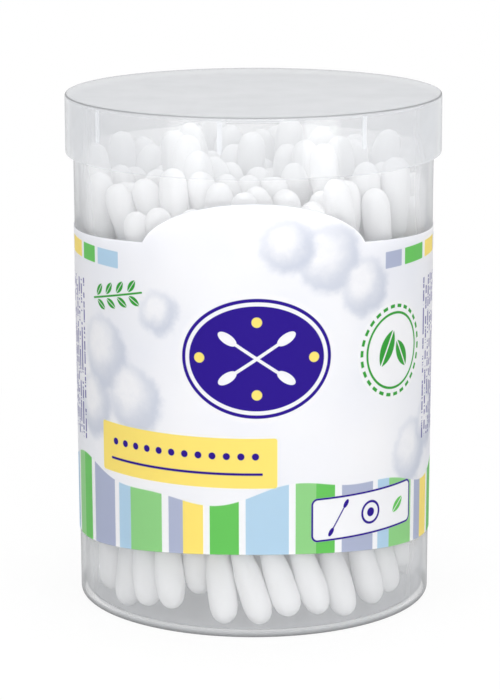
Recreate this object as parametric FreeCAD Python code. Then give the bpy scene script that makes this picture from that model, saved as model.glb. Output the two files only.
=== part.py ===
import FreeCAD, Part
import math
import os
import random

from FreeCAD import Placement, Rotation, Vector

# A round clear tub of cotton swabs with a lift-off lid. Millimetres, +Z up.
# The origin is the centre of the face that the tub stands on.

# Swab: a paper stick with a bud of wound cotton on both ends. Each bud has a blunt end and
# a brow, is widest at the belly, and comes in by way of its back to the neck.
swab_length = 75.0
stick_r = 1.2
bud_r = 2.5
bud_end_r = bud_r - 1.3
bud_brow = 1.2
bud_brow_r = bud_r - 0.4
bud_belly = 4.5
bud_back = 9.0
bud_back_r = bud_r - 0.15
bud_length = 14.0
bud_neck_r = stick_r + 0.4
bud_shoulder = 0.5

# Tub: a thin cup with a little draft, standing on a low ring under its floor. It is as high
# as a swab and the room left over the swabs.
tub_room = 13.9
tub_rim_r = 32.0
tub_draft = 0.4
tub_wall = 0.9
tub_floor = 0.7
tub_rim_bevel = 0.2
tub_foot_round = 0.6
tub_floor_bevel = 0.7
foot_ring_height = 0.3
foot_ring_width = 2.2
gate_r = 1.0
gate_height = 0.2
tub_foot_r = tub_rim_r - tub_draft
floor_top = foot_ring_height + tub_floor
tub_height = floor_top + swab_length + tub_room

# Lid: a plate with a skirt that passes outside the rim, and ribs that centre it there
lid_plate = 0.9
lid_skirt = 10.6
lid_wall = 0.85
lid_clearance = 0.5
lid_edge_round = 0.45
lid_lip_bevel = 0.25
lid_rib_count = 8
lid_rib_first = -10.0
lid_rib_width = 0.8
lid_rib_length = 5.5
lid_rib_gap = 0.15
lid_inner_r = tub_rim_r + lid_clearance
lid_outer_r = lid_inner_r + lid_wall
lid_top = tub_height + lid_plate
lid_low = lid_top - lid_skirt

# Label: a printed film round the wall, cut with slightly bowed edges and an arch in front
label_film = 0.1
label_glue = 0.05
label_low = 14.8
label_top_gap = 19.9
label_low_bow = 3.2
label_high_bow = 1.8
label_arch_half_width = 20.2
label_arch_height = 10.4
label_arch_sink = 3.5
label_seam = 0.5
label_high = tub_height - label_top_gap

# Bundle: how the swabs stand in the tub, and how many of them are nodes of their own
bundle_slack = 0.072
bundle_twist = 36.0
bundle_scatter = 9.0
bundle_lift = 8.5
outer_lift_rarity = 4.0
inner_lift_rarity = 1.3
swab_clearance = 0.15
own_share = 0.56
own_most = 56
seed = 35

# Settling: how finely the swabs are eased apart, and when that is good enough
settle_rounds = 180
settle_step = 1.6
settle_reach = 2.0
settle_refresh = 6
settle_end = 0.03


def tub_outer_r(z):
    """Radius of the tub's outside at height z, from the foot's to the rim's."""
    return tub_foot_r + (tub_rim_r - tub_foot_r) * z / tub_height


def tub_inner_r(z):
    return tub_outer_r(z) - tub_wall


def profile_point(r, z):
    return Vector(r, 0, z)


def revolved(edges):
    """The solid swept by a closed profile in the XZ plane once round the Z axis."""
    face = Part.Face(Part.Wire(edges))
    return face.revolve(Vector(0, 0, 0), Vector(0, 0, 1), 360)


def outline(points):
    """A closed profile of straight lines through (radius, height) points."""
    return Part.makePolygon([profile_point(r, z) for r, z in points + points[:1]]).Edges


def rims(solid, r, z):
    """The round edges of a solid that lie at radius r and height z."""
    found = []
    for edge in solid.Edges:
        curve = edge.Curve
        if not isinstance(curve, Part.Circle):
            continue
        if abs(curve.Radius - r) < 1e-4 and abs(curve.Center.z - z) < 1e-4:
            found.append(edge)
    return found


def make_tub():
    foot_in = tub_foot_r - foot_ring_width
    inside_low = tub_inner_r(floor_top)
    inside_top = tub_inner_r(tub_height)
    tub = revolved(outline([
        (0, foot_ring_height),
        (foot_in, foot_ring_height),
        (foot_in, 0),
        (tub_foot_r, 0),
        (tub_rim_r, tub_height),
        (inside_top, tub_height),
        (inside_low, floor_top),
        (0, floor_top),
    ]))
    tub = tub.makeFillet(tub_foot_round, rims(tub, tub_foot_r, 0))
    tub = tub.makeChamfer(tub_floor_bevel, rims(tub, inside_low, floor_top))
    tub = tub.makeChamfer(tub_rim_bevel, rims(tub, tub_rim_r, tub_height))
    tub = tub.makeChamfer(tub_rim_bevel, rims(tub, inside_top, tub_height))
    gate = Part.makeCylinder(gate_r, gate_height, Vector(0, 0, foot_ring_height - gate_height))
    return tub.fuse(gate).removeSplitter()


def lid_rib():
    """One upright rib inside the skirt, on the -Y side, from the plate down."""
    reach = lid_clearance - lid_rib_gap
    root = lid_wall / 2
    low = tub_height - lid_rib_length
    rib = Part.makeBox(lid_rib_width, reach + root, lid_rib_length + lid_plate / 2)
    rib.translate(Vector(-lid_rib_width / 2, -lid_inner_r - root, low))
    return rib


def make_lid():
    lid = revolved(outline([
        (0, tub_height),
        (lid_inner_r, tub_height),
        (lid_inner_r, lid_low),
        (lid_outer_r, lid_low),
        (lid_outer_r, lid_top),
        (0, lid_top),
    ]))
    lid = lid.makeFillet(lid_edge_round, rims(lid, lid_outer_r, lid_top))
    lid = lid.makeChamfer(lid_lip_bevel, rims(lid, lid_outer_r, lid_low))
    ribs = []
    for i in range(lid_rib_count):
        rib = lid_rib()
        turn = lid_rib_first + 360.0 * i / lid_rib_count
        rib.rotate(Vector(0, 0, 0), Vector(0, 0, 1), turn)
        ribs.append(rib)
    return lid.fuse(ribs).removeSplitter()


def label_outline():
    """The label as seen from the front, run through to the back: two edges that bow down at
    the sides, and the arch, which stands in the front half only."""
    half = lid_outer_r
    low_side = label_low - label_low_bow * (half / tub_rim_r) ** 2
    high_side = label_high - label_high_bow * (half / tub_rim_r) ** 2
    low = Part.Arc(Vector(-half, 0, low_side), Vector(0, 0, label_low), Vector(half, 0, low_side))
    high = Part.Arc(Vector(-half, 0, high_side), Vector(0, 0, label_high), Vector(half, 0, high_side))
    left = Part.makeLine(Vector(-half, 0, low_side), Vector(-half, 0, high_side))
    right = Part.makeLine(Vector(half, 0, low_side), Vector(half, 0, high_side))
    band = Part.Face(Part.Wire([low.toShape(), right, high.toShape(), left]))
    band = band.extrude(Vector(0, 2 * half, 0))
    band.translate(Vector(0, -half, 0))
    arch = Part.Ellipse(Vector(0, 0, 0), label_arch_half_width, label_arch_height)
    disc = Part.Face(Part.Wire([arch.toShape()]))
    disc.rotate(Vector(0, 0, 0), Vector(1, 0, 0), 90)
    disc.translate(Vector(0, 0, label_high - label_arch_sink))
    return band.fuse(disc.extrude(Vector(0, -half, 0)))


def make_label():
    inner_low = tub_foot_r + label_glue
    inner_high = tub_rim_r + label_glue
    film = revolved(outline([
        (inner_low, 0),
        (inner_low + label_film, 0),
        (inner_high + label_film, tub_height),
        (inner_high, tub_height),
    ]))
    label = film.common(label_outline())
    seam = Part.makeBox(label_seam, lid_outer_r, tub_height, Vector(-label_seam / 2, 0, 0))
    return label.cut(seam)


# Half of the swab's profile, as distances from its tip and radii
half_profile = [
    (0, bud_end_r),
    (bud_brow, bud_brow_r),
    (bud_belly, bud_r),
    (bud_back, bud_back_r),
    (bud_length, bud_neck_r),
    (bud_length + bud_shoulder, stick_r),
    (swab_length / 2, stick_r),
]


def swab_radius(s):
    """Radius of a swab at the distance s along it from either tip."""
    s = min(s, swab_length - s)
    if s < 0:
        return 0.0
    for (s0, r0), (s1, r1) in zip(half_profile, half_profile[1:]):
        if s <= s1:
            return r0 + (r1 - r0) * (s - s0) / (s1 - s0)
    return stick_r


def make_swab():
    """One swab that stands on the origin along +Z: a stick with its two buds."""
    lower = [(r, s) for s, r in half_profile[:-1]]
    upper = [(r, swab_length - s) for r, s in reversed(lower)]
    return revolved(outline([(0, 0)] + lower + upper + [(0, swab_length)]))


def ring_places(reach):
    """Places in plan on rings from the reach inwards, one pitch apart and along each ring."""
    pitch = 2 * bud_r * (1 + bundle_slack)
    places = []
    r = reach
    while r > 0:
        count = max(1, int(2 * math.pi * r / pitch))
        places += [(r, 2 * math.pi * k / count) for k in range(count)]
        r -= pitch
    return places


def scattered_bundle():
    """A first guess for every swab: the plan places of its lower and its upper tip.

    The lower tips stand in rings. The upper tips do the same, turned by the bundle's twist
    and scattered, so that most swabs lean. Some are held up by their neighbours, and more of
    them inside than along the wall."""
    dice = random.Random(seed)
    reach = tub_inner_r(floor_top) - bud_r - swab_clearance
    swabs = []
    for r, turn in ring_places(reach):
        back = turn - math.radians(bundle_twist)
        x = r * math.cos(back) + dice.gauss(0, bundle_scatter)
        y = r * math.sin(back) + dice.gauss(0, bundle_scatter)
        inwards = min(1.0, reach / math.hypot(x, y))
        rarity = outer_lift_rarity if r == reach else inner_lift_rarity
        seat = floor_top + swab_clearance + bundle_lift * dice.random() ** rarity
        low = [r * math.cos(turn), r * math.sin(turn)]
        swabs.append({"low": low, "high": [x * inwards, y * inwards], "seat": seat})
    return swabs


def stand(swab):
    """Sets a swab's height, slope and foot: it keeps its length, whatever its lean."""
    lean = math.dist(swab["high"], swab["low"])
    swab["height"] = math.sqrt(swab_length**2 - lean**2)
    swab["slope"] = swab["height"] / swab_length
    swab["foot"] = swab["seat"] + bud_end_r * lean / swab_length


def cut_across(swab, z):
    """Notes where a level cuts a swab: the share of its height, the middle and the radius."""
    share = (z - swab["foot"]) / swab["height"]
    swab["share"] = share
    swab["x"] = swab["low"][0] * (1 - share) + swab["high"][0] * share
    swab["y"] = swab["low"][1] * (1 - share) + swab["high"][1] * share
    swab["r"] = swab_radius(share * swab_length) / swab["slope"]


def shove(swab, dx, dy):
    """Moves a swab where the level cuts it. The swab turns a little about its far part."""
    share = swab["share"]
    down = 1 - share
    whole = down**2 + share**2
    swab["low"][0] += dx * down / whole
    swab["low"][1] += dy * down / whole
    swab["high"][0] += dx * share / whole
    swab["high"][1] += dy * share / whole
    swab["x"] += dx
    swab["y"] += dy


def near_pairs(swabs):
    """Pairs of swabs whose axes come closer than two buds and the reach, at some height."""
    reach = 2 * bud_r + settle_reach
    pairs = []
    for i, a in enumerate(swabs):
        for b in swabs[:i]:
            x = a["low"][0] - b["low"][0]
            y = a["low"][1] - b["low"][1]
            dx = a["high"][0] - b["high"][0] - x
            dy = a["high"][1] - b["high"][1] - y
            share = -(x * dx + y * dy) / (dx * dx + dy * dy + 1e-9)
            share = max(0.0, min(1.0, share))
            if math.hypot(x + dx * share, y + dy * share) < reach:
                pairs.append((a, b))
    return pairs


def part_two(a, b):
    """Shoves two swabs apart at one level by half of what they lack each. Returns the lack."""
    x = a["x"] - b["x"]
    y = a["y"] - b["y"]
    apart = math.hypot(x, y)
    lack = a["r"] + b["r"] + swab_clearance - apart
    if lack <= 0 or a["r"] == 0 or b["r"] == 0:
        return 0.0
    half = lack / 2 / max(apart, swab_clearance)
    shove(a, x * half, y * half)
    shove(b, -x * half, -y * half)
    return lack


def keep_inside(swab, z):
    """Shoves a swab off the wall at the height z. Returns how far it reached over."""
    out = math.hypot(swab["x"], swab["y"])
    over = out + swab["r"] + swab_clearance - tub_inner_r(z)
    if over <= 0 or swab["r"] == 0:
        return 0.0
    shove(swab, -swab["x"] / out * over, -swab["y"] / out * over)
    return over


def settle(swabs):
    """Eases the swabs apart and off the wall until none touches another at any level."""
    levels = []
    z = floor_top + settle_step / 2
    while z < tub_height:
        levels.append(z)
        z += settle_step
    for turn in range(settle_rounds):
        for swab in swabs:
            stand(swab)
        if turn % settle_refresh == 0:
            pairs = near_pairs(swabs)
        worst = 0.0
        for z in levels:
            for swab in swabs:
                cut_across(swab, z)
            for a, b in pairs:
                worst = max(worst, part_two(a, b))
            for swab in swabs:
                worst = max(worst, keep_inside(swab, z))
        if worst < settle_end:
            break
    for swab in swabs:
        stand(swab)


def place(shape, swab):
    """A copy of the upright swab, leant and moved to where it stands in the tub."""
    low = Vector(*swab["low"], swab["foot"])
    high = Vector(*swab["high"], swab["foot"] + swab["height"])
    copy = shape.copy()
    copy.Placement = Placement(low, Rotation(Vector(0, 0, 1), high - low))
    return copy


def write(node, shape):
    shape.exportStep(os.path.join("parts", node + ".step"))


os.makedirs("parts", exist_ok=True)
write("tub", make_tub())
write("lid", make_lid())
write("label", make_label())

bundle = scattered_bundle()
settle(bundle)
bundle.sort(key=lambda swab: -math.hypot(*swab["low"]))
upright = make_swab()
solids = [place(upright, swab) for swab in bundle]
own_nodes = min(own_most, int(own_share * len(solids)))
for number, solid in enumerate(solids[:own_nodes], start=1):
    write("swab_%02d" % number, solid)
write("inner_swabs", Part.makeCompound(solids[own_nodes:]))
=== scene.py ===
import math

import bpy
import mathutils
import numpy as np
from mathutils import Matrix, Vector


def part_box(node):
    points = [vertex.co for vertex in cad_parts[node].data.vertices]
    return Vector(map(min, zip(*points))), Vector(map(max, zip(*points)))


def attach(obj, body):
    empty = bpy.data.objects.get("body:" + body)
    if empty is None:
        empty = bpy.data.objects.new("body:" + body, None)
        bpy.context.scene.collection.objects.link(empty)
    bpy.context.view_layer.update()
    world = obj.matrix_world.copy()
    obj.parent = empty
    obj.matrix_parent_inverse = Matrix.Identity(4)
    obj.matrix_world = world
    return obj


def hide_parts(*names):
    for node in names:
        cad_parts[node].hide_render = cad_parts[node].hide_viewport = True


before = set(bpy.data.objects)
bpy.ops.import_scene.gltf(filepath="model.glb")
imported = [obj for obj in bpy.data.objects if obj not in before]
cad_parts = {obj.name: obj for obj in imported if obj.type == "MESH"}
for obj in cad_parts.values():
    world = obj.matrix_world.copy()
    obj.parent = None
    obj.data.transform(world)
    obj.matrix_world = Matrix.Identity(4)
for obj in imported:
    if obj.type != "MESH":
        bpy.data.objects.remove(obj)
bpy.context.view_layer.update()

# Tub. One injection moulding of clear polypropylene, a thin cup with a little draft. It
# stands on a ring under its floor, and the gate's mark is in the middle of that floor.
MM = 0.001
TURN_STEPS = 192
ARC_STEPS = 5
SUPPORT_REACH = 1.2
SHARP_ANGLE = 40.0
TUB_WALL = 0.9 * MM
TUB_FLOOR = 0.7 * MM
TUB_DRAFT = 0.4 * MM
TUB_RIM_ROUND = 0.25 * MM
TUB_FOOT_ROUND = 0.7 * MM
TUB_INSIDE_ROUND = 0.9 * MM
TUB_FOOT_THICK = 1.3 * MM
FLOOR_PAINTED_DARK_SHARE = 0.1
# The floor's share of painted dark edge, a faint painted shade.
FOOT_RING_HEIGHT = 0.3 * MM
FOOT_RING_WIDTH = 2.2 * MM
FOOT_RING_ROUND = 0.15 * MM
GATE_RADIUS = 1.0 * MM
GATE_HEIGHT = 0.2 * MM
GATE_FOOT_ROUND = 0.05 * MM
SMALL_ROUND = 0.1 * MM

TUB_HAZE = 0.115
PLASTIC_HAZE_COLOUR = (0.935, 0.95, 0.975)
TUB_KEEPS = 0.966
# Painted shade: how much the painted dark edge lengthens the way through the plastic.
PAINTED_DARK_EDGE_WAY = 38.0
LEAST_COSINE = 0.07
MOTTLE = 0.5
MOTTLE_SCALE = 90.0
RIPPLE_SCALE = 35.0
RIPPLE_STRENGTH = 0.035
RIPPLE_DEPTH = 0.002
GLOSS_COLOUR = (0.8, 0.8, 0.8, 1)
GLOSS_ROUGHNESS = 0.13
GLOSS_STRAIGHT = 0.035
GLOSS_SLANTED = 0.35


def rounded_profile(corners):
    """A closed profile through (radius, height, round) corners: each corner with a round is
    an arc, worked out as a quadratic curve between the two points where it leaves the sides.
    One more point on either side, a fifth of the round further on, keeps the sides flat."""
    points = []
    share = np.linspace(0, 1, ARC_STEPS + 1)[:, None]
    for i, (r, z, round_size) in enumerate(corners):
        here = np.array([r, z])
        if round_size == 0:
            points.append(here[None])
            continue
        before = np.array(corners[i - 1][:2]) - here
        after = np.array(corners[(i + 1) % len(corners)][:2]) - here
        start = here + before / np.linalg.norm(before) * round_size
        end = here + after / np.linalg.norm(after) * round_size
        arc = (1 - share) ** 2 * start + 2 * share * (1 - share) * here + share**2 * end
        supports = [(here + SUPPORT_REACH * (side - here))[None] for side in (start, end)]
        points += [supports[0], arc, supports[1]]
    return np.concatenate(points)


def mesh_object(name, points, faces):
    """An object at the origin with its place in its mesh, smooth apart from its sharp edges."""
    mesh = bpy.data.meshes.new(name)
    mesh.from_pydata(points.tolist(), [], faces)
    mesh.shade_smooth()
    mesh.set_sharp_from_angle(angle=math.radians(SHARP_ANGLE))
    made = bpy.data.objects.new(name, mesh)
    bpy.context.scene.collection.objects.link(made)
    return made


def turned(name, profile, steps=TURN_STEPS):
    """A surface of revolution: every (radius, height) point of the profile goes once round
    the Z axis. A point on the axis becomes one vertex, and the rest rings of vertices."""
    turn = np.arange(steps) * 2 * math.pi / steps
    on_axis = profile[:, 0] < 1e-9
    first, last = on_axis[0], on_axis[-1]
    rings = profile[int(first):len(profile) - int(last)]
    x = rings[:, :1] * np.cos(turn)
    y = rings[:, :1] * np.sin(turn)
    z = np.repeat(rings[:, 1:], steps, axis=1)
    points = np.stack([x, y, z], axis=-1).reshape(-1, 3)
    rows = np.arange(len(rings) - 1)[:, None] * steps
    column = np.arange(steps)[None]
    after = (column + 1) % steps
    quads = np.stack([rows + column, rows + after,
                      rows + steps + after, rows + steps + column], -1)
    faces = quads.reshape(-1, 4).tolist()
    poles = [p for p, there in ((profile[0], first), (profile[-1], last)) if there]
    count = len(points)
    points = np.concatenate([points] + [np.array([[0, 0, p[1]]]) for p in poles])
    around = np.stack([column[0], after[0]], -1)
    if first:
        faces += np.column_stack([around[:, ::-1], np.full(steps, count)]).tolist()
        count += 1
    if last:
        top = around + (len(rings) - 1) * steps
        faces += np.column_stack([top, np.full(steps, count)]).tolist()
    return mesh_object(name, points, faces)


def add_node(tree, kind, inputs=None, **settings):
    """A shader node with its settings, and its inputs set to values or linked to sockets."""
    node = tree.nodes.new(kind)
    for key, value in settings.items():
        setattr(node, key, value)
    for socket, value in (inputs or {}).items():
        if isinstance(value, bpy.types.NodeSocket):
            tree.links.new(value, node.inputs[socket])
        else:
            node.inputs[socket].default_value = value
    return node


def first_output(tree, kind, inputs=None, **settings):
    """What a new node gives, for the nodes of which only the first output is used."""
    return add_node(tree, kind, inputs, **settings).outputs[0]


def maths(tree, operation, *values, clamp=False):
    """One calculation on numbers or sockets, by Blender's name for it."""
    return first_output(tree, "ShaderNodeMath", dict(enumerate(values)),
                        operation=operation, use_clamp=clamp)


def noise(tree, place, scale, detail):
    """Noise of about 0 to 1 at a place, with as many waves to the unit as its scale."""
    return first_output(tree, "ShaderNodeTexNoise", {
        "Vector": place, "Scale": scale, "Detail": detail})


def bumped(tree, height, strength, depth):
    """The normal that a surface has with small bumps of a height."""
    return first_output(tree, "ShaderNodeBump", {
        "Height": height, "Strength": strength, "Distance": depth})


def mixed(tree, share, one, other):
    """One shader with a share of the other."""
    return first_output(tree, "ShaderNodeMixShader", {0: share, 1: one, 2: other})


def object_place(tree):
    """The place of the shaded point in its object, in metres."""
    return add_node(tree, "ShaderNodeTexCoord").outputs["Object"]


def new_tree(owner):
    """The empty node tree of a material or a world."""
    owner.use_nodes = True
    owner.node_tree.nodes.clear()
    return owner.node_tree


def painted_dark_edge_share(made, painted_dark_edge):
    """Keeps, for every vertex, a share of painted shade: 0 is a plain wall, and 1 is a dark
    edge, painted as if the eye looked along the plastic there, as through the edge of a plate."""
    co = np.empty(len(made.data.vertices) * 3)
    made.data.vertices.foreach_get("co", co)
    kept = made.data.attributes.new("painted_dark_edge", "FLOAT", "POINT")
    kept.data.foreach_set("value", painted_dark_edge(*co.reshape(-1, 3).T).astype(np.float32))


def clear_plastic(name, haze, keeps):
    """Clear plastic with a milky haze that soaks up a little light. A slanted way through the
    wall is longer, as 1 over the cosine of its angle, and the painted dark edge lengthens it
    more, as painted shade where edges show dark lines.
    What is seen through it is (1 - haze) to the power of that way, and what it keeps of the
    light is keeps to the same power. Gloss grows with the fifth power of the slant."""
    material = bpy.data.materials.new(name)
    tree = new_tree(material)
    place = object_place(tree)
    mottle = noise(tree, place, MOTTLE_SCALE, 3.0)
    bump = bumped(tree, noise(tree, place, RIPPLE_SCALE, 1.0), RIPPLE_STRENGTH, RIPPLE_DEPTH)
    slant = add_node(tree, "ShaderNodeLayerWeight", {"Blend": 0.5}).outputs["Facing"]
    shadow = add_node(tree, "ShaderNodeLightPath").outputs["Is Shadow Ray"]
    # The painted dark edge, read from the vertices: painted shade laid on as a longer way.
    painted_dark_edge = add_node(tree, "ShaderNodeAttribute", attribute_name="painted_dark_edge").outputs["Fac"]
    cosine = maths(tree, "MAXIMUM", maths(tree, "SUBTRACT", 1.0, slant), LEAST_COSINE)
    way = maths(tree, "MULTIPLY_ADD", painted_dark_edge, PAINTED_DARK_EDGE_WAY, maths(tree, "DIVIDE", 1.0, cosine))
    share = maths(tree, "MULTIPLY_ADD", mottle, haze * MOTTLE, haze * (1 - MOTTLE / 2))
    clear = maths(tree, "POWER", maths(tree, "SUBTRACT", 1.0, share), way)
    clear = maths(tree, "MAXIMUM", clear, shadow)
    kept = maths(tree, "MAXIMUM", maths(tree, "POWER", keeps, way), shadow)
    grey = first_output(tree, "ShaderNodeCombineColor", {0: kept, 1: kept, 2: kept})
    through = first_output(tree, "ShaderNodeBsdfTransparent", {"Color": grey})
    milk_colour = first_output(tree, "ShaderNodeVectorMath", {
        0: PLASTIC_HAZE_COLOUR, 3: kept}, operation="SCALE")
    milk = mixed(tree, 0.5, first_output(tree, "ShaderNodeBsdfDiffuse", {"Color": milk_colour}),
                 first_output(tree, "ShaderNodeBsdfTranslucent", {"Color": milk_colour}))
    gloss = first_output(tree, "ShaderNodeBsdfAnisotropic", {
        "Color": GLOSS_COLOUR, "Roughness": GLOSS_ROUGHNESS, "Normal": bump})
    mirror = maths(tree, "MULTIPLY_ADD", maths(tree, "POWER", slant, 5.0),
                   GLOSS_SLANTED, GLOSS_STRAIGHT)
    mirror = maths(tree, "MULTIPLY", mirror, maths(tree, "SUBTRACT", 1.0, shadow))
    whole = mixed(tree, mirror, mixed(tree, clear, milk, through), gloss)
    add_node(tree, "ShaderNodeOutputMaterial", {"Surface": whole})
    return material


def tub_profile():
    """The tub's closed profile, from the middle of its underside out, up the outside, over
    the rim, and down the inside to the middle of its floor."""
    rim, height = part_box("tub")[1].x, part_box("tub")[1].z
    foot = rim - TUB_DRAFT
    floor_top = FOOT_RING_HEIGHT + TUB_FLOOR
    inside_low = foot - TUB_WALL + TUB_DRAFT * floor_top / height
    return rounded_profile([
        (0, FOOT_RING_HEIGHT - GATE_HEIGHT, 0),
        (GATE_RADIUS, FOOT_RING_HEIGHT - GATE_HEIGHT, SMALL_ROUND),
        (GATE_RADIUS, FOOT_RING_HEIGHT, GATE_FOOT_ROUND),
        (foot - FOOT_RING_WIDTH, FOOT_RING_HEIGHT, SMALL_ROUND),
        (foot - FOOT_RING_WIDTH, 0, FOOT_RING_ROUND),
        (foot, 0, TUB_FOOT_ROUND),
        (foot + TUB_DRAFT * TUB_FOOT_THICK / height, TUB_FOOT_THICK, 0),
        (rim, height, TUB_RIM_ROUND),
        (rim - TUB_WALL, height, TUB_RIM_ROUND),
        (inside_low, floor_top, TUB_INSIDE_ROUND),
        (0, floor_top, 0),
    ])


def tub_painted_dark_edge(x, y, z):
    """Painted shade at the foot: the wall's share of painted dark edge falls evenly from 1 at
    the tub's underside to 0 at the top of its foot. The floor has a small share of its own,
    a faint painted shade."""
    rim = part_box("tub")[1]
    in_wall = np.hypot(x, y) > rim.x - TUB_DRAFT - 1.5 * TUB_WALL
    foot = np.clip((TUB_FOOT_THICK - z) / TUB_FOOT_THICK, 0, 1)
    return np.where(in_wall, foot, FLOOR_PAINTED_DARK_SHARE * (z < 0.1 * rim.z))


tub = turned("tub_moulding", tub_profile())
tub.data.materials.append(clear_plastic("tub_plastic", TUB_HAZE, TUB_KEEPS))
# Painted shade: a dark edge round the tub's foot and a faint one on its floor.
painted_dark_edge_share(tub, tub_painted_dark_edge)
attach(tub, "tub")
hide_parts("tub")

# Lid. The same plastic in one moulding: a flat plate with a skirt that stands proud of the
# tub, and eight short ribs inside the skirt that centre it on the rim. It is pushed on.
LID_PLATE = 0.9 * MM
LID_WALL = 0.85 * MM
LID_EDGE_ROUND = 0.6 * MM
LID_LIP_ROUND = 0.3 * MM
LID_LIP_INSIDE_ROUND = 0.15 * MM
LID_INSIDE_ROUND = 0.2 * MM
# Depth and width of the ring of painted shade on the plate's top edge.
LID_DARK_EDGE_DEPTH = 0.25 * MM
LID_DARK_EDGE_WIDTH = 0.3 * MM
LID_HAZE = 0.125
LID_KEEPS = 0.977
RIB_COUNT = 8
RIB_STEPS = 9
RIB_FIRST = -10.0
RIB_WIDTH = 0.8 * MM
RIB_LENGTH = 5.5 * MM
RIB_REACH = 0.35 * MM
RIB_SUNK = 0.1 * MM
# Far milkier than the lid: a painted highlight, so that the ribs show as bright lines.
RIB_PAINTED_HIGHLIGHT_HAZE = 0.45
# Heights over a rib's lower end, and the shares of its reach and its width that it has there.
RIB_TAPER = ((0, 0.15, 0.6), (0.25 * MM, 0.75, 0.95), (1.2 * MM, 1, 1), (RIB_LENGTH, 1, 1))


def lid_profile():
    """The lid's closed profile, from the middle of the plate's underside out, down inside
    the skirt, round its lip, up the outside and back over the top to the middle."""
    low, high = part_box("lid")
    outer = high.x
    inner = outer - LID_WALL
    under = high.z - LID_PLATE
    return rounded_profile([
        (0, under, 0),
        (inner, under, LID_INSIDE_ROUND),
        (inner, low.z, LID_LIP_INSIDE_ROUND),
        (outer, low.z, LID_LIP_ROUND),
        (outer, under, 0),
        (outer, high.z, LID_EDGE_ROUND),
        (0, high.z, 0),
    ])


def lid_painted_dark_edge(x, y, z):
    """Painted shade: a narrow ring on top, at the plate's edge, is the dark edge."""
    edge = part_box("lid")[1]
    on_top = z > edge.z - LID_DARK_EDGE_DEPTH
    return 1.0 * on_top * (np.hypot(x, y) > edge.x - LID_DARK_EDGE_WIDTH)


def lid_ribs():
    """Upright ribs at even steps. Each is a half-round column on the skirt's inside: its
    section is half of an ellipse, and its lower end tapers into the skirt."""
    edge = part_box("lid")[1]
    inner = edge.x - LID_WALL
    around = np.linspace(0, math.pi, RIB_STEPS)
    up, reach, width = np.array(RIB_TAPER).T
    up = edge.z - LID_PLATE - RIB_LENGTH + up
    side = RIB_WIDTH / 2 * np.cos(around)[None] * width[:, None]
    inwards = (inner + RIB_SUNK
               - (RIB_REACH * reach[:, None] + RIB_SUNK) * np.sin(around)[None])
    height = np.repeat(up[:, None], len(around), axis=1)
    points = []
    faces = []
    rows, columns = side.shape
    grid = np.arange(rows * columns).reshape(rows, columns)
    quads = np.stack([grid[:-1, :-1], grid[:-1, 1:], grid[1:, 1:], grid[1:, :-1]], -1)
    quads = quads.reshape(-1, 4)
    caps = [grid[0].tolist()[::-1], grid[-1].tolist()]
    back = [[grid[i, 0], grid[i + 1, 0], grid[i + 1, -1], grid[i, -1]]
            for i in range(rows - 1)]
    for k in range(RIB_COUNT):
        turn = math.radians(RIB_FIRST + 360.0 * k / RIB_COUNT)
        x = side * math.cos(turn) + inwards * math.sin(turn)
        y = side * math.sin(turn) - inwards * math.cos(turn)
        points.append(np.stack([x, y, height], -1).reshape(-1, 3))
        start = k * rows * columns
        faces += (quads + start).tolist()
        faces += [[int(v) + start for v in face] for face in caps + back]
    return mesh_object("lid_ribs", np.concatenate(points), faces)


lid = turned("lid_moulding", lid_profile())
lid.data.materials.append(clear_plastic("lid_plastic", LID_HAZE, LID_KEEPS))
# Painted shade: a dark ring on the plate's top edge.
painted_dark_edge_share(lid, lid_painted_dark_edge)
ribs = lid_ribs()
# Painted highlight: the ribs get a milkier copy of the lid's plastic, seen as bright lines.
ribs.data.materials.append(clear_plastic("rib_plastic_painted_highlight", RIB_PAINTED_HIGHLIGHT_HAZE, LID_KEEPS))
for piece in (lid, ribs):
    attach(piece, "lid")
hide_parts("lid")

# Swabs. Each is a rolled paper stick, smooth and bright white, with a bud of wound cotton
# on both ends. The cotton is soft and matt, tapers along the stick, and has fine fibres.
SWAB_RING_STEPS = 24
# Distances from a bud's tip and the radii there, in mm. The last one is the bare stick's,
# and what is thinner than BARE_RADIUS stays even. Turn and swell are in radians to the metre.
BUD_PROFILE = ((0.0, 0.0), (0.22, 0.9), (0.7, 1.55), (1.5, 2.08), (2.8, 2.42), (4.5, 2.55),
               (6.5, 2.5), (9.0, 2.32), (11.5, 2.0), (13.2, 1.74), (14.0, 1.5), (14.35, 1.24))
BARE_RADIUS = 1.26 * MM
END_SLICE = 0.3 * MM
UNEVEN = 0.02
UNEVEN_MOST = 1.04
UNEVEN_TURN = 260
UNEVEN_SWELL = 900
COTTON_COLOUR = (0.95, 0.95, 0.955, 1)
COTTON_THROUGH = 0.25
FIBRE_SCALE = 2600.0
TUFT_SCALE = 420.0
COTTON_BUMP = (0.35, 0.0002)
PAPER_COLOUR = (0.90, 0.90, 0.90, 1)
GRAIN_SCALE = 1800.0
PAPER_BUMP = (0.2, 0.0001)
SWAB_SEED = 5


def cad_points(node):
    """A node's vertices, and the three corners of each of its triangles."""
    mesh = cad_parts[node].data
    points = np.empty(len(mesh.vertices) * 3)
    mesh.vertices.foreach_get("co", points)
    mesh.calc_loop_triangles()
    corners = np.empty(len(mesh.loop_triangles) * 3, int)
    mesh.loop_triangles.foreach_get("vertices", corners)
    return points.reshape(-1, 3), corners.reshape(-1, 3)


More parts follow.
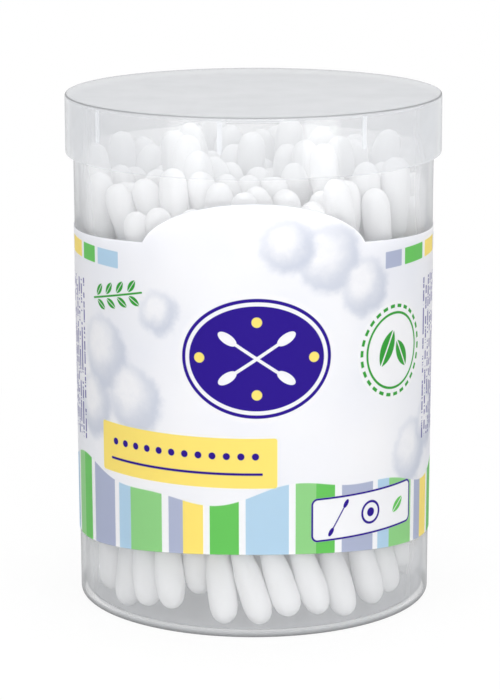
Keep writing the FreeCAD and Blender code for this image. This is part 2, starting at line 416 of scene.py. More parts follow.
def loose_parts(points, corners):
    """The points of each separate solid of a mesh. Equal points are merged, and then every
    triangle passes the lowest number among its corners on until nothing changes."""
    merged, which = np.unique(np.round(points, 7), axis=0, return_inverse=True)
    corners = which.reshape(-1)[corners]
    number = np.arange(len(merged))
    while True:
        lowest = number[corners].min(axis=1)
        new = number.copy()
        for k in range(3):
            np.minimum.at(new, corners[:, k], lowest)
        new = new[new]
        if np.array_equal(new, number):
            break
        number = new
    return [merged[number == n] for n in np.unique(number)]


def swab_axis(points):
    """The middles of a swab's two ends: the long direction comes from its points' spread,
    and each end is the middle of the points that lie furthest along it. Three rounds settle
    the direction, because it follows from the ends in its turn."""
    middle = points.mean(axis=0)
    along = np.linalg.svd(points - middle, full_matrices=False)[2][0]
    along = along * np.sign(along[2])
    for _ in range(3):
        reach = (points - middle) @ along
        low = points[reach < reach.min() + END_SLICE]
        high = points[reach > reach.max() - END_SLICE]
        ends = [(end.min(axis=0) + end.max(axis=0)) / 2 for end in (low, high)]
        along = (ends[1] - ends[0]) / np.linalg.norm(ends[1] - ends[0])
    return ends


def swab_surface(low, high, dice):
    """One swab between its two ends: rings round the axis whose radius is the bud's smooth
    profile, with a little unevenness that turns and swells along the cotton."""
    along = high - low
    length = np.linalg.norm(along)
    along = along / length
    side = np.cross(along, [1.0, 0, 0])
    side /= np.linalg.norm(side)
    other = np.cross(side, along)
    s, r = np.array(BUD_PROFILE).T * MM
    where = np.concatenate([s[1:], length - s[:0:-1]])
    radius = np.concatenate([r[1:], r[:0:-1]])
    turn = np.arange(SWAB_RING_STEPS) * 2 * math.pi / SWAB_RING_STEPS
    cotton = (radius > BARE_RADIUS)[:, None]
    lobes, swell = dice.uniform(0, 2 * math.pi, 2)
    uneven = 1 + cotton * UNEVEN * (
        np.sin(2 * turn[None] + lobes + where[:, None] * UNEVEN_TURN)
        + np.sin(where[:, None] * UNEVEN_SWELL + swell))
    ring = radius[:, None] * np.minimum(uneven, UNEVEN_MOST)
    points = low + where[:, None, None] * along
    points = points + (ring * np.cos(turn))[..., None] * side
    points = points + (ring * np.sin(turn))[..., None] * other
    return np.concatenate([points.reshape(-1, 3), [low, high]])


def swab_faces():
    """Quads between the rings, a fan of triangles at either end, and which faces are paper:
    those between the two middle rings."""
    steps = SWAB_RING_STEPS
    rings = 2 * (len(BUD_PROFILE) - 1)
    rows = np.arange(rings - 1)[:, None] * steps
    column = np.arange(steps)[None]
    after = (column + 1) % steps
    quads = np.stack([rows + column, rows + steps + column,
                      rows + steps + after, rows + after], -1)
    tip = rings * steps
    top = tip - steps
    low_fan = np.column_stack([column[0], after[0], np.full(steps, tip)])
    high_fan = np.column_stack([after[0] + top, column[0] + top, np.full(steps, tip + 1)])
    faces = quads.reshape(-1, 4).tolist() + low_fan.tolist() + high_fan.tolist()
    paper = np.zeros(len(faces), int)
    middle = rings // 2 - 1
    paper[middle * steps:(middle + 1) * steps] = 1
    return faces, paper


def cotton_material():
    """Matt white cotton: fine fibres in the bump, a soft sheen and some light through it."""
    material = bpy.data.materials.new("cotton")
    tree = new_tree(material)
    place = object_place(tree)
    fibres = noise(tree, place, FIBRE_SCALE, 3.0)
    tufts = noise(tree, place, TUFT_SCALE, 2.0)
    bump = bumped(tree, maths(tree, "MULTIPLY_ADD", tufts, 2.0, fibres), *COTTON_BUMP)
    cotton = first_output(tree, "ShaderNodeBsdfPrincipled", {
        "Base Color": COTTON_COLOUR, "Roughness": 0.95, "Specular IOR Level": 0.2,
        "Sheen Weight": 0.3, "Sheen Roughness": 0.5, "Normal": bump})
    through = first_output(tree, "ShaderNodeBsdfTranslucent", {"Color": COTTON_COLOUR})
    add_node(tree, "ShaderNodeOutputMaterial", {
        "Surface": mixed(tree, COTTON_THROUGH, cotton, through)})
    return material


def paper_material():
    """Rolled white paper: a fine grain and a faint gloss."""
    material = bpy.data.materials.new("stick_paper")
    tree = new_tree(material)
    grain = noise(tree, object_place(tree), GRAIN_SCALE, 4.0)
    paper = first_output(tree, "ShaderNodeBsdfPrincipled", {
        "Base Color": PAPER_COLOUR, "Roughness": 0.55, "Specular IOR Level": 0.4,
        "Normal": bumped(tree, grain, *PAPER_BUMP)})
    add_node(tree, "ShaderNodeOutputMaterial", {"Surface": paper})
    return material


swab_materials = cotton_material(), paper_material()
faces, paper_faces = swab_faces()
dice = np.random.default_rng(SWAB_SEED)
swab_nodes = sorted(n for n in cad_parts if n.startswith("swab_"))
for node in swab_nodes + ["inner_swabs"]:
    for number, part in enumerate(loose_parts(*cad_points(node)), start=1):
        name = "cotton_" + node if node != "inner_swabs" else "cotton_inner_swab_%02d" % number
        piece = mesh_object(name, swab_surface(*swab_axis(part), dice), faces)
        for material in swab_materials:
            piece.data.materials.append(material)
        piece.data.polygons.foreach_set("material_index", paper_faces)
        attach(piece, "tub")
        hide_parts(node)

# Label. One printed film wrapped round the tub and stuck to it, with its seam at the back.
# Its edges bow down at the sides, and it rises in an arch in front. The print stops a little
# inside the edges, where the film stays clear.
LABEL_GLUE = 0.05 * MM
LABEL_FILM = 0.1 * MM
LABEL_SEAM_HALF = 0.25 * MM
LABEL_ROWS = 4
ARCH_STEPS = 141
# Heights and widths of its outline, and all places and sizes of its print, are in mm.
LABEL_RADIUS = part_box("tub")[1].x / MM
LABEL_LOW = 14.8
LABEL_HIGH = 70.0
LABEL_LOW_BOW = 3.2
LABEL_HIGH_BOW = 1.8
ARCH_MIDDLE = 66.5
ARCH_HALF_WIDTH = 20.2
ARCH_HEIGHT = 10.4
ARCH_REACH = 45.0
CLEAR_MARGIN = 0.9
CLEAR_MARGIN_LOW = 0.25
FILM_THROUGH = 0.38
FILM_GLOSS = 0.025
FILM_ROUGHNESS = 0.15
INK_ROUGHNESS = 0.42
INK_GRAIN_SCALE = 6.0
INK_BUMP = (0.04, 0.0002)
SHADE_SCALE = 0.05
SHADE_RAMP = (1.6, -0.55)
SOFT_EDGE = 0.07


def ink(red, green, blue):
    """A printed colour, given from 0 to 255 as on a screen, in a shader's linear values."""
    screen = np.array([red, green, blue]) / 255
    linear = np.where(screen > 0.04, ((screen + 0.055) / 1.055) ** 2.4, screen / 12.92)
    return (*linear.tolist(), 1.0)


VIOLET = ink(44, 8, 154)
YELLOW = ink(255, 237, 130)
LILAC = ink(190, 197, 220)
GREEN = ink(116, 211, 104)
LEAF_GREEN = ink(58, 172, 62)
PALE_GREEN = ink(160, 222, 150)
LIGHT_BLUE = ink(194, 222, 240)
PRINT_WHITE = ink(250, 250, 252)
SHADE_WHITE = ink(238, 240, 247)
SOFT_GREY = ink(212, 217, 229)

# Places and radii of the cotton balls, and places, half widths and inks of the short bars.
COTTON_BALLS = (
    (13.5, 66.0, 5.6), (6.0, 68.5, 4.4), (20.5, 60.5, 4.8), (-30.5, 47.5, 6.4),
    (-22.5, 40.5, 6.0), (-34.0, 37.5, 5.4), (33.5, 29.5, 5.6), (41.0, 33.5, 5.0),
    (-17.0, 56.5, 3.6))
BALL_EDGE = 1.1
BALL_SHARE = 0.8
FLUFF_SCALE = 0.32
FLUFF_REACH = 3.2
WISP_SCALE = 0.55
EDGE_BARS = (
    (-42.5, 3.6, YELLOW), (-35.4, 2.4, GREEN), (-29.0, 3.0, LIGHT_BLUE), (27.2, 2.2, LILAC),
    (33.8, 3.4, GREEN), (41.8, 3.4, YELLOW), (49.3, 3.0, LILAC), (-50.5, 3.0, LILAC))
EDGE_BAR_HEIGHT = 64.6
EDGE_BAR_HALF = 1.45
# Where each stripe starts, as a share of a repeat, and the waves that their tops follow:
# how many go round the tub, and how high they are.
STRIPES = (
    (0.0, GREEN), (0.10, PRINT_WHITE), (0.125, LIGHT_BLUE), (0.27, PRINT_WHITE),
    (0.295, PALE_GREEN), (0.37, GREEN), (0.44, PRINT_WHITE), (0.465, LILAC),
    (0.60, PRINT_WHITE), (0.625, LIGHT_BLUE), (0.68, PALE_GREEN), (0.82, PRINT_WHITE),
    (0.845, LILAC), (0.90, YELLOW), (0.975, PRINT_WHITE))
STRIPE_REPEATS = 4
STRIPE_START = 58.0
STRIPE_TOP = 25.5
STRIPE_WAVES = ((4, 1.7), (9, 0.7))
# The medallion's ovals from the outside in: ink, half width, half height and soft edge.
MEDALLION_PLACE = (0.5, 49.5)
MEDALLION_OVALS = (
    (PRINT_WHITE, 13.8, 11.2, 0.5), (VIOLET, 13.0, 10.4, SOFT_EDGE),
    (PRINT_WHITE, 12.4, 9.8, SOFT_EDGE), (VIOLET, 11.7, 9.1, SOFT_EDGE))
MEDALLION_SWAB_TURN = 34
MEDALLION_SWAB_SIZE = 0.92
MEDALLION_DOTS = ((0, 6.3), (9.9, 0))
MEDALLION_DOT_RADIUS = 0.9
# The swab's and the leaf's own halves, radius and places. Each leaf on the print is given by
# its place, turn and size, and each ring by its radius and half width.
SWAB_STICK = (6.2, 0.3)
SWAB_BUD = (2.0, 0.95)
SWAB_BUD_PLACE = 6.6
LEAF_RADIUS = 3.4
LEAF_DISC_PLACE = 2.2
LEAF_RIB = (3.0, 0.12)
SPRIG_PLACE = (-27.0, 58.3)
SPRIG_TURN = 12
SPRIG_STEM = (6.8, 0.17)
SPRIG_LEAVES = [(u, 1.3, 40, 0.55) for u in (-4.4, -1.4, 1.6, 4.6)]
SEAL_PLACE = (27.5, 48.5)
SEAL_RADIUS = 8.7
SEAL_OUTER = (7.8, 0.3)
SEAL_INNER = (6.6, 0.22)
SEAL_DASHES = 26.0
SEAL_LEAVES = ((-1.8, 0.6, 62, 1.35), (2.1, -0.8, 118, 1.1))
BAND_PLACE = (-13.5, 31.2)
BAND_HALF = (17.5, 4.4)
BAND_ROUND = 0.5
BAND_PRINT_HALF = 15.0
BAND_PITCH = 2.5
BAND_DOTS_UP = 1.2
BAND_DOT_RADIUS = 0.62
BAND_LINE_UP = -1.9
BAND_LINE_HALF = 0.22
# The panels' places and halves. The motifs in them grow with a panel's half height, and
# have their own size at the one named here.
PANELS = ((21.5, 20.6, 11.5, 3.9), (-81.0, 47.0, 15.5, 6.2), (81.0, 47.0, 15.5, 6.2))
PANEL_HALF = 3.9
PANEL_ROUND = 1.2
PANEL_LINE = 0.35
PANEL_MIDDLE = 0.5
PANEL_RING = (1.9, 0.22)
PANEL_DOT = 0.8
# How far the swab is from the left end and the leaf from the right one, turns and sizes.
PANEL_SWAB = (5.2, 58, 0.42)
PANEL_LEAF = (4.0, 40, 0.72)
MARKS_PLACE = (51.0, 45.0)
MARKS_HALF = (13.0, 14.5)
MARKS_PITCH = 1.5
MARKS_SHARE = 0.85
MARKS_LINE_HALF = 0.22
MARKS_LINE_STEP = 7.3
MARKS_LEAST = 0.69
MARKS_NOISES = ((0.5, 3.0), (2.6, 1.0))
MARKS_SMALL_SHARE = 0.45


def label_sheet():
    """The film as one closed sheet. Along each upright column it runs up the outside from
    the low edge to the high one and back down the inside. The low edge is a height less a
    bow that grows as the square of the sine of the column's turn. The high edge is the
    greater of a like edge and, in front, the arch's ellipse."""
    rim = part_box("tub")[1]
    seam = LABEL_SEAM_HALF / rim.x
    even = np.linspace(-math.pi + seam, math.pi - seam, TURN_STEPS)
    across = np.sin(np.linspace(-math.pi / 2, math.pi / 2, ARCH_STEPS))
    turn = np.union1d(even, np.arcsin(ARCH_HALF_WIDTH / LABEL_RADIUS * across))
    side = LABEL_RADIUS * np.sin(turn)
    low = LABEL_LOW - LABEL_LOW_BOW * np.sin(turn) ** 2
    high = LABEL_HIGH - LABEL_HIGH_BOW * np.sin(turn) ** 2
    share = np.clip(1 - (side / ARCH_HALF_WIDTH) ** 2, 0, 1) * (np.cos(turn) > 0)
    arch = ARCH_MIDDLE + ARCH_HEIGHT * np.sqrt(share)
    high = np.where(share > 0, np.maximum(high, arch), high)
    up = np.linspace(0, 1, LABEL_ROWS)[:, None]
    z = (low + (high - low) * up) * MM
    r = rim.x - TUB_DRAFT * (1 - z / rim.z) + LABEL_GLUE
    z = np.concatenate([z, z[::-1]])
    r = np.concatenate([r + LABEL_FILM, r[::-1]])
    points = np.stack([r * np.sin(turn), -r * np.cos(turn), z], axis=-1).reshape(-1, 3)
    columns = len(turn)
    grid = np.arange(len(points)).reshape(-1, columns)
    after = np.roll(grid, -1, axis=0)
    quads = np.stack([grid[:, :-1], grid[:, 1:], after[:, 1:], after[:, :-1]], -1)
    ends = []
    for edge, order in ((0, slice(None)), (columns - 1, slice(None, None, -1))):
        outer = grid[:LABEL_ROWS, edge]
        inner = grid[LABEL_ROWS:, edge][::-1]
        caps = np.stack([outer[:-1], outer[1:], inner[1:], inner[:-1]], -1)
        ends += caps[:, order].tolist()
    return mesh_object("label_film", points, quads.reshape(-1, 4).tolist() + ends)


def vector_maths(tree, operation, *values):
    """One calculation on vectors, by Blender's name for it."""
    node = add_node(tree, "ShaderNodeVectorMath", dict(enumerate(values)), operation=operation)
    return node.outputs["Value" if operation == "LENGTH" else "Vector"]


def combined(tree, x, y):
    """A vector from two numbers."""
    return first_output(tree, "ShaderNodeCombineXYZ", {0: x, 1: y})


def separated(tree, vector):
    """A vector's first two numbers."""
    return add_node(tree, "ShaderNodeSeparateXYZ", {0: vector}).outputs[:2]


def inside(tree, distance, reach, soft=SOFT_EDGE):
    """1 where a distance is within its reach and 0 past it, with a soft edge, in mm."""
    return first_output(tree, "ShaderNodeMapRange", {
        "Value": distance, "From Min": reach + soft, "From Max": reach - soft},
        interpolation_type="SMOOTHSTEP")


def motif_place(tree, place, u, v, turn=0):
    """The print's coordinates as seen from a motif's own middle, turned with it in degrees."""
    moved = vector_maths(tree, "SUBTRACT", place, (u, v, 0))
    if turn:
        moved = first_output(tree, "ShaderNodeVectorRotate", {
            "Vector": moved, "Angle": -math.radians(turn)}, rotation_type="Z_AXIS")
    return moved


def disc(tree, place, radius, soft=SOFT_EDGE):
    """A disc is where the distance from its middle is within its radius."""
    return inside(tree, vector_maths(tree, "LENGTH", place), radius, soft)


def ring(tree, place, radius, half_width):
    """A ring is where the distance from its middle is near its radius."""
    off = maths(tree, "SUBTRACT", vector_maths(tree, "LENGTH", place), radius)
    return inside(tree, maths(tree, "ABSOLUTE", off), half_width)


def oval(tree, place, half_u, half_v, soft=SOFT_EDGE):
    """The ellipse is a disc on coordinates whose upright one is stretched."""
    stretched = vector_maths(tree, "MULTIPLY", place, (1, half_u / half_v, 1))
    return disc(tree, stretched, half_u, soft)


def block(tree, place, half_u, half_v, corner=0.15):
    """A rectangle with round corners: the distance to the smaller rectangle that its corners'
    middles make is within the corners' radius."""
    middles = (half_u - corner, half_v - corner, 0)
    past = vector_maths(tree, "SUBTRACT", vector_maths(tree, "ABSOLUTE", place), middles)
    return disc(tree, vector_maths(tree, "MAXIMUM", past, (0, 0, 0)), corner)


def paint(tree, under, colour, where):
    """A colour laid over what is printed under it, where its shape is."""
    return first_output(tree, "ShaderNodeMixRGB", {
        "Fac": where, "Color1": under, "Color2": colour})


def either(tree, *shapes):
    """The union of several shapes is the greatest of them."""
    whole = shapes[0]
    for shape in shapes[1:]:
        whole = maths(tree, "MAXIMUM", whole, shape)
    return whole


def only(tree, shape, *others):
    """The part of a shape that lies in all the others too is their product."""
    for other in others:
        shape = maths(tree, "MULTIPLY", shape, other)
    return shape


def less(tree, shape, other):
    """The part of a shape that lies outside the other one is their difference."""
    return maths(tree, "SUBTRACT", shape, other, clamp=True)


def swab_motif(tree, place, u, v, turn, size):
    """A little swab: a thin bar, and one oval on both sides of its middle."""
    here = motif_place(tree, place, u, v, turn)
    half_u, half_v = SWAB_STICK
    stick = block(tree, here, half_u * size, half_v * size, half_v * size)
    folded = motif_place(tree, vector_maths(tree, "ABSOLUTE", here), SWAB_BUD_PLACE * size, 0)
    bud = oval(tree, folded, SWAB_BUD[0] * size, SWAB_BUD[1] * size)
    return either(tree, stick, bud)


def leaf_motif(tree, place, u, v, turn, size):
    """A leaf is where two equal discs overlap, less a thin rib along its middle."""
    here = motif_place(tree, place, u, v, turn)
    discs = [disc(tree, motif_place(tree, here, 0, v * size), LEAF_RADIUS * size)
             for v in (LEAF_DISC_PLACE, -LEAF_DISC_PLACE)]
    rib = block(tree, here, LEAF_RIB[0] * size, LEAF_RIB[1] * size)
    return less(tree, only(tree, *discs), rib)


def cotton_balls(tree, under, place):
    """Soft balls of cotton wool: a grey disc with a wide soft edge, a white one on it up and
    to the left, and coordinates that noise moves a little, so that the edges look fluffy."""
    fluff = add_node(tree, "ShaderNodeTexNoise", {
        "Vector": place, "Scale": FLUFF_SCALE, "Detail": 5.0, "Roughness": 0.6
    }).outputs["Color"]
    fluff = vector_maths(tree, "SUBTRACT", fluff, (0.5, 0.5, 0.5))
    fluff = vector_maths(tree, "MULTIPLY", fluff, (FLUFF_REACH, FLUFF_REACH, 0))
    fluffy = vector_maths(tree, "ADD", place, fluff)
    wisps = first_output(tree, "ShaderNodeTexNoise", {
        "Vector": fluffy, "Scale": WISP_SCALE, "Detail": 6.0, "Roughness": 0.7})
    wisps = maths(tree, "MULTIPLY_ADD", wisps, 0.7, 0.6, clamp=True)
    for u, v, radius in COTTON_BALLS:
        ball = disc(tree, motif_place(tree, fluffy, u, v), radius, BALL_EDGE)
        under = paint(tree, under, SOFT_GREY, maths(tree, "MULTIPLY", ball, BALL_SHARE))
        lit_place = motif_place(tree, fluffy, u - 0.26 * radius, v + 0.3 * radius)
        lit = disc(tree, lit_place, radius * 0.72, radius * 0.48)
        under = paint(tree, under, PRINT_WHITE, only(tree, lit, ball, wisps))
    return under


def edge_bars(tree, under, place):
    """Short bars of the label's colours in a row under its high edge, left and right."""
    for u, half, colour in EDGE_BARS:
        here = motif_place(tree, place, u, EDGE_BAR_HEIGHT)
        under = paint(tree, under, colour, block(tree, here, half, EDGE_BAR_HALF))
    return under


def low_stripes(tree, under, u, v):
    """Upright stripes round the label's foot, in repeats that go evenly round the tub. A ramp
    with hard steps gives each its colour. Their tops follow the sum of two sine waves."""
    repeat = 2 * math.pi * LABEL_RADIUS / STRIPE_REPEATS
    part = maths(tree, "DIVIDE", maths(tree, "ADD", u, STRIPE_START), repeat)
    ramp = add_node(tree, "ShaderNodeValToRGB", {"Fac": maths(tree, "FRACT", part)})
    ramp.color_ramp.interpolation = "CONSTANT"
    elements = ramp.color_ramp.elements
    elements[0].position, elements[0].color = STRIPES[0]
    elements[1].position, elements[1].color = STRIPES[-1]
    for position, colour in STRIPES[1:-1]:
        elements.new(position).color = colour
    top = STRIPE_TOP
    for count, height in STRIPE_WAVES:
        wave = maths(tree, "SINE", maths(tree, "DIVIDE", u, LABEL_RADIUS / count))
        top = maths(tree, "MULTIPLY_ADD", wave, height, top)
    shape = inside(tree, maths(tree, "SUBTRACT", v, top), 0.0, 0.12)
    return paint(tree, under, ramp.outputs[0], shape)


def medallion(tree, under, place):
    """A violet oval in front with a light ring, two crossed swabs and four yellow dots, which
    are two dots on coordinates that are folded both ways."""
    here = motif_place(tree, place, *MEDALLION_PLACE)
    for colour, half_u, half_v, soft in MEDALLION_OVALS:
        under = paint(tree, under, colour, oval(tree, here, half_u, half_v, soft))
    swabs = [swab_motif(tree, here, 0, 0, turn, MEDALLION_SWAB_SIZE)
             for turn in (MEDALLION_SWAB_TURN, -MEDALLION_SWAB_TURN)]
    under = paint(tree, under, PRINT_WHITE, either(tree, *swabs))
    folded = vector_maths(tree, "ABSOLUTE", here)
    dots = [disc(tree, motif_place(tree, folded, u, v), MEDALLION_DOT_RADIUS)
            for u, v in MEDALLION_DOTS]
    return paint(tree, under, YELLOW, either(tree, *dots))


def sprig(tree, under, place):
    """A thin green stem with leaves at even steps. The coordinates are folded about the stem,
    so that the leaves stand in pairs."""
    here = motif_place(tree, place, *SPRIG_PLACE, SPRIG_TURN)
    across, up = separated(tree, here)
    folded = combined(tree, across, maths(tree, "ABSOLUTE", up))
    leaves = [leaf_motif(tree, folded, *leaf) for leaf in SPRIG_LEAVES]
    return paint(tree, under, LEAF_GREEN, either(tree, block(tree, here, *SPRIG_STEM), *leaves))


def leaf_seal(tree, under, place):
    """A round white seal with two green rings and leaves. The outer ring is broken into
    dashes, where the sine of a multiple of the turn is low."""
    here = motif_place(tree, place, *SEAL_PLACE)
    under = paint(tree, under, PRINT_WHITE, disc(tree, here, SEAL_RADIUS))
    across, up = separated(tree, here)
    turn = maths(tree, "ARCTAN2", up, across)
    dashes = maths(tree, "SINE", maths(tree, "MULTIPLY", turn, SEAL_DASHES))
    outer = only(tree, ring(tree, here, *SEAL_OUTER), inside(tree, dashes, 0.3, 0.3))
    leaves = [leaf_motif(tree, here, *leaf) for leaf in SEAL_LEAVES]
    return paint(tree, under, LEAF_GREEN, either(
        tree, outer, ring(tree, here, *SEAL_INNER), *leaves))


def dotted_band(tree, under, place):
    """A level yellow band with a row of small violet dots and a thin line under them. The
    dots are one disc on coordinates that start again at every pitch."""
    here = motif_place(tree, place, *BAND_PLACE)
    under = paint(tree, under, YELLOW, block(tree, here, *BAND_HALF, BAND_ROUND))
    across, up = separated(tree, here)
    part = maths(tree, "FRACT", maths(tree, "DIVIDE", across, BAND_PITCH))
    part = maths(tree, "MULTIPLY", maths(tree, "SUBTRACT", part, 0.5), BAND_PITCH)
    cell = combined(tree, part, maths(tree, "SUBTRACT", up, BAND_DOTS_UP))
    dots = only(tree, disc(tree, cell, BAND_DOT_RADIUS),
                block(tree, here, BAND_PRINT_HALF, BAND_HALF[1]))
    line = block(tree, motif_place(tree, here, 0, BAND_LINE_UP),
                 BAND_PRINT_HALF, BAND_LINE_HALF)
    return paint(tree, under, VIOLET, either(tree, dots, line))


def picture_panel(tree, under, place, u, v, half_u, half_v):
    """A white panel in a thin violet outline, with a swab, a ring round a dot, and a leaf."""
    here = motif_place(tree, place, u, v)
    size = half_v / PANEL_HALF
    whole = block(tree, here, half_u, half_v, PANEL_ROUND)
    under = paint(tree, under, PRINT_WHITE, whole)
    outline = less(tree, whole, block(tree, here, half_u - PANEL_LINE, half_v - PANEL_LINE,
                                      PANEL_ROUND - PANEL_LINE))
    middle = motif_place(tree, here, PANEL_MIDDLE, 0)
    target = either(tree, ring(tree, middle, PANEL_RING[0] * size, PANEL_RING[1] * size),
                    disc(tree, middle, PANEL_DOT * size))
    off, turn, own = PANEL_SWAB
    swab = swab_motif(tree, here, off * size - half_u, 0, turn, own * size)
    under = paint(tree, under, VIOLET, either(tree, outline, target, swab))
    off, turn, own = PANEL_LEAF
    leaf = leaf_motif(tree, here, half_u - off * size, 0, turn, own * size)
    return paint(tree, under, GREEN, leaf)


def fine_marks(tree, under, place, u, v):
    """Upright columns of fine violet dashes near the sides: lines at a small pitch, which a
    coarse noise, different on each line, breaks into runs."""
    column = maths(tree, "DIVIDE", u, MARKS_PITCH)
    off = maths(tree, "SUBTRACT", maths(tree, "FRACT", column), 0.5)
    lines = inside(tree, maths(tree, "ABSOLUTE", off), MARKS_LINE_HALF, 0.08)
    line = maths(tree, "FLOOR", column)
    seeds = combined(tree, maths(tree, "MULTIPLY", line, MARKS_LINE_STEP), v)
    coarse, small = [first_output(tree, "ShaderNodeTexNoise", {
        "Vector": seeds, "Scale": scale, "Detail": detail}, noise_dimensions="2D")
        for scale, detail in MARKS_NOISES]
    runs = maths(tree, "MULTIPLY_ADD", small, MARKS_SMALL_SHARE, coarse)
    runs = inside(tree, maths(tree, "MULTIPLY", runs, -1.0), -MARKS_LEAST, 0.03)
    away = motif_place(tree, vector_maths(tree, "ABSOLUTE", place), *MARKS_PLACE)
    marks = only(tree, lines, runs, block(tree, away, *MARKS_HALF))
    return paint(tree, under, VIOLET, maths(tree, "MULTIPLY", marks, MARKS_SHARE))


def printed_part(tree, x, u, v):
    """Where ink lies: between two lines that keep to the label's edges, and in the arch. The
    edges bow with the square of x over the radius, which is the sine of the turn."""
    sine = maths(tree, "DIVIDE", x, LABEL_RADIUS)
    bow = maths(tree, "MULTIPLY", sine, sine)
    low = maths(tree, "MULTIPLY_ADD", bow, -LABEL_LOW_BOW, LABEL_LOW + CLEAR_MARGIN_LOW)
    high = maths(tree, "MULTIPLY_ADD", bow, -LABEL_HIGH_BOW, LABEL_HIGH - CLEAR_MARGIN)
    band = only(tree, inside(tree, maths(tree, "SUBTRACT", low, v), 0.0),
                inside(tree, maths(tree, "SUBTRACT", v, high), 0.0))
    front = combined(tree, x, maths(tree, "SUBTRACT", v, ARCH_MIDDLE))
    arch = oval(tree, front, ARCH_HALF_WIDTH - CLEAR_MARGIN, ARCH_HEIGHT - CLEAR_MARGIN)
    front_half = inside(tree, maths(tree, "ABSOLUTE", u), ARCH_REACH)
    return either(tree, band, only(tree, arch, front_half))


def print_colour(tree, place, u, v):
    """The whole print, from the ground's soft shade up to the medallion that lies on top."""
    shade = noise(tree, place, SHADE_SCALE, 2.0)
    shade = maths(tree, "MULTIPLY_ADD", shade, *SHADE_RAMP, clamp=True)
    colour = paint(tree, PRINT_WHITE, SHADE_WHITE, shade)
    colour = cotton_balls(tree, colour, place)
    colour = low_stripes(tree, colour, u, v)
    colour = edge_bars(tree, colour, place)
    colour = fine_marks(tree, colour, place, u, v)
    for panel in PANELS:
        colour = picture_panel(tree, colour, place, *panel)
    for motif in (dotted_band, leaf_seal, sprig, medallion):
        colour = motif(tree, colour, place)
    return colour


def label_material():
    """Printed film: satin ink that lets some light through, on glossy clear film. The print's
    coordinates are the way round the tub and the height, both in mm."""
    material = bpy.data.materials.new("label_print")
    tree = new_tree(material)
    in_mm = vector_maths(tree, "MULTIPLY", object_place(tree), (1000, 1000, 1000))
    x, y, v = add_node(tree, "ShaderNodeSeparateXYZ", {0: in_mm}).outputs
    turn = maths(tree, "ARCTAN2", x, maths(tree, "MULTIPLY", y, -1.0))
    u = maths(tree, "MULTIPLY", turn, LABEL_RADIUS)
    place = combined(tree, u, v)
    colour = print_colour(tree, place, u, v)
    bump = bumped(tree, noise(tree, place, INK_GRAIN_SCALE, 2.0), *INK_BUMP)
    satin = first_output(tree, "ShaderNodeBsdfPrincipled", {
        "Base Color": colour, "Roughness": INK_ROUGHNESS, "Specular IOR Level": 0.2,
        "Normal": bump})
    glow = first_output(tree, "ShaderNodeBsdfTranslucent", {"Color": colour})
    clear = first_output(tree, "ShaderNodeBsdfTransparent", {"Color": (0.995, 0.995, 0.995, 1)})
    shine = first_output(tree, "ShaderNodeBsdfAnisotropic", {
        "Color": GLOSS_COLOUR, "Roughness": FILM_ROUGHNESS})
    whole = mixed(tree, printed_part(tree, x, u, v), mixed(tree, FILM_GLOSS, clear, shine),
                  mixed(tree, FILM_THROUGH, satin, glow))
    add_node(tree, "ShaderNodeOutputMaterial", {"Surface": whole})
    return material


label = label_sheet()
label.data.materials.append(label_material())
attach(label, "tub")
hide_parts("label")

# Studio. A white table and a white surround, two tall soft boxes in front, left and right,
# and two wide soft lamps, one overhead and one in front. The camera looks slightly down.
CAMERA_PLACE = (0, -0.4936, 0.15624)
CAMERA_PITCH = 0.2115
CAMERA_ROLL = 0.0017
CAMERA_LENS = 144.4
CAMERA_SHIFT = (-0.004, -0.05)
TABLE_RADIUS = 1.2
TABLE_THICKNESS = 0.001
TABLE_COLOUR = (0.9, 0.9, 0.9, 1)
TABLE_PLAIN_NEAR = 0.88
TABLE_PLAIN_FROM = 0.04
TABLE_PLAIN_TO = 0.16
SURROUND_LIGHT = 0.5
WHITE = (1, 1, 1, 1)
SOFTBOX_TURN = 40.0
SOFTBOX_DISTANCE = 0.32
SOFTBOX_HEIGHT = 0.22
SOFTBOX_SIZE = (0.115, 0.5)
SOFTBOX_POWER = (0.25, 0.36)
# The wide lamps' names, places, the points that they face, their sizes and their powers.
WIDE_LAMPS = (
    ("top_lamp", (0, 0.1, 0.9), (0, 0, 0.05), (0.7, 0.7), 4.8),
    ("front_lamp", (0, -0.6, 0.19), (0, 0, 0.02), (0.4, 0.25), 1.15))


def soft_lamp(name, place, at, size, power):
    """A rectangular lamp at a place, with its -Z axis turned towards a point."""
    lamp = bpy.data.lights.new(name, "AREA")
    lamp.shape = "RECTANGLE"
    lamp.size, lamp.size_y = size
    lamp.energy = power
    made = bpy.data.objects.new(name, lamp)
    bpy.context.scene.collection.objects.link(made)
    way = mathutils.Vector(at) - mathutils.Vector(place)
    made.location = place
    made.rotation_euler = way.to_track_quat("-Z", "Y").to_euler()


def seen_straight(tree):
    """1 for the rays that show the surround itself: camera, glossy and transmission rays."""
    ray = add_node(tree, "ShaderNodeLightPath")
    some = maths(tree, "MAXIMUM", ray.outputs["Is Camera Ray"], ray.outputs["Is Glossy Ray"])
    return maths(tree, "MAXIMUM", some, ray.outputs["Is Transmission Ray"])


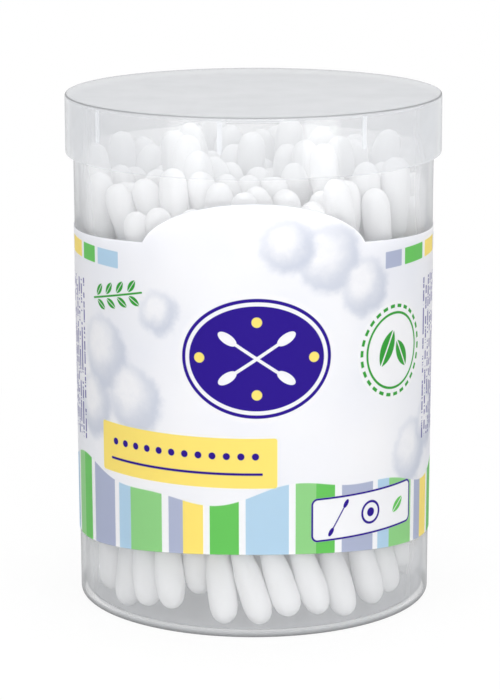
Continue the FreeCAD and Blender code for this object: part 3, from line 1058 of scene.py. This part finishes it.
def white_surround():
    """A world that is seen as plain white and lights the tub with a part of that."""
    world = bpy.data.worlds.new("surround")
    bpy.context.scene.world = world
    tree = new_tree(world)
    strength = maths(tree, "MULTIPLY_ADD", seen_straight(tree),
                     1.0 - SURROUND_LIGHT, SURROUND_LIGHT)
    light = first_output(tree, "ShaderNodeBackground", {"Color": WHITE, "Strength": strength})
    add_node(tree, "ShaderNodeOutputWorld", {"Surface": light})


def white_table():
    """A round table top whose colour goes over into plain white away from the tub."""
    table = turned("table", np.array([
        [0, -TABLE_THICKNESS], [TABLE_RADIUS, -TABLE_THICKNESS], [TABLE_RADIUS, 0], [0, 0]]), 64)
    material = bpy.data.materials.new("table_white")
    tree = new_tree(material)
    distance = vector_maths(tree, "LENGTH", object_place(tree))
    far = first_output(tree, "ShaderNodeMapRange", {
        "Value": distance, "From Min": TABLE_PLAIN_FROM, "From Max": TABLE_PLAIN_TO},
        interpolation_type="SMOOTHSTEP")
    lit = first_output(tree, "ShaderNodeBsdfDiffuse", {"Color": TABLE_COLOUR})
    plain = first_output(tree, "ShaderNodeEmission", {"Color": WHITE, "Strength": 1.0})
    near = mixed(tree, TABLE_PLAIN_NEAR, lit, plain)
    whole = mixed(tree, seen_straight(tree), lit, mixed(tree, far, near, plain))
    add_node(tree, "ShaderNodeOutputMaterial", {"Surface": whole})
    table.data.materials.append(material)


white_surround()
white_table()
for side, power in zip((-1, 1), SOFTBOX_POWER):
    turn = math.radians(SOFTBOX_TURN) * side
    place = (SOFTBOX_DISTANCE * math.sin(turn), -SOFTBOX_DISTANCE * math.cos(turn),
             SOFTBOX_HEIGHT)
    soft_lamp("softbox", place, (0, 0, SOFTBOX_HEIGHT), SOFTBOX_SIZE, power)
for lamp in WIDE_LAMPS:
    soft_lamp(*lamp)

camera = bpy.data.cameras.new("camera")
camera.lens = CAMERA_LENS
camera.shift_x, camera.shift_y = CAMERA_SHIFT
camera_object = bpy.data.objects.new("camera", camera)
bpy.context.scene.collection.objects.link(camera_object)
camera_object.location = CAMERA_PLACE
camera_object.rotation_euler = (math.pi / 2 - CAMERA_PITCH, CAMERA_ROLL, 0)
bpy.context.scene.camera = camera_object
bpy.context.scene.view_settings.view_transform = "Standard"
